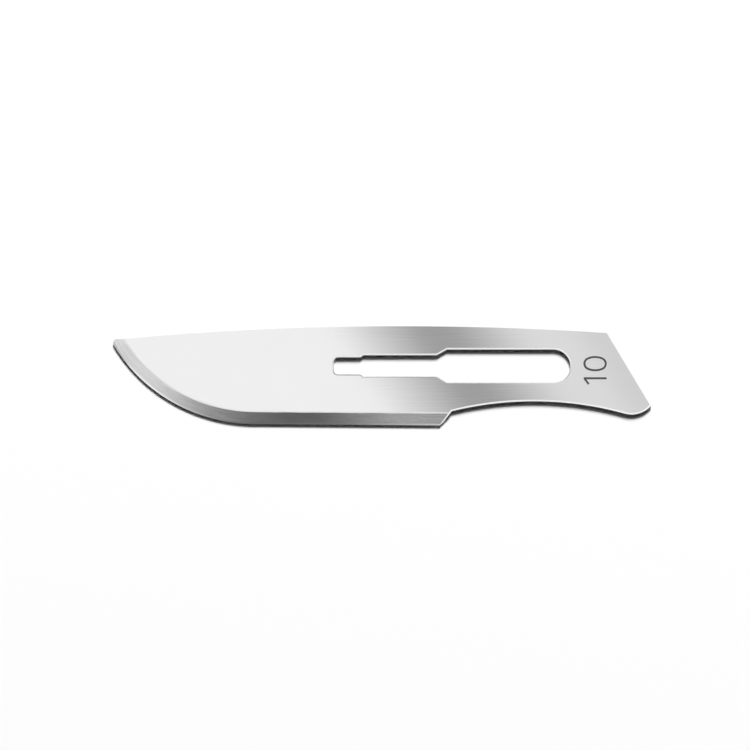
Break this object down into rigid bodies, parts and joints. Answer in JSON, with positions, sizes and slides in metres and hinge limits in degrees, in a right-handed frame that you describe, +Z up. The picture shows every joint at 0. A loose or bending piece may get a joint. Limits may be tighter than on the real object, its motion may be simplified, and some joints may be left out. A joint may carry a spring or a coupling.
{
  "type": "scalpel blade",
  "caption": "Detachable scalpel blade of thin steel strip, with a curved double-ground cutting edge and a stepped slot for a handle.",
  "frame": {"origin": "middle of the blade's length and width, on the underside that it lies on", "axes": "+X from the tip to the heel, +Y from the cutting edge to the spine, +Z up through the sheet"},
  "size_m": [0.04, 0.0076, 0.0004],
  "materials": {
    "blade_steel": "satin hardened steel strip with a finely ground bevel and a bright honed edge"
  },
  "bodies": {
    "root": {"scalpel_blade": "blade_steel"}
  },
  "joints": []
}
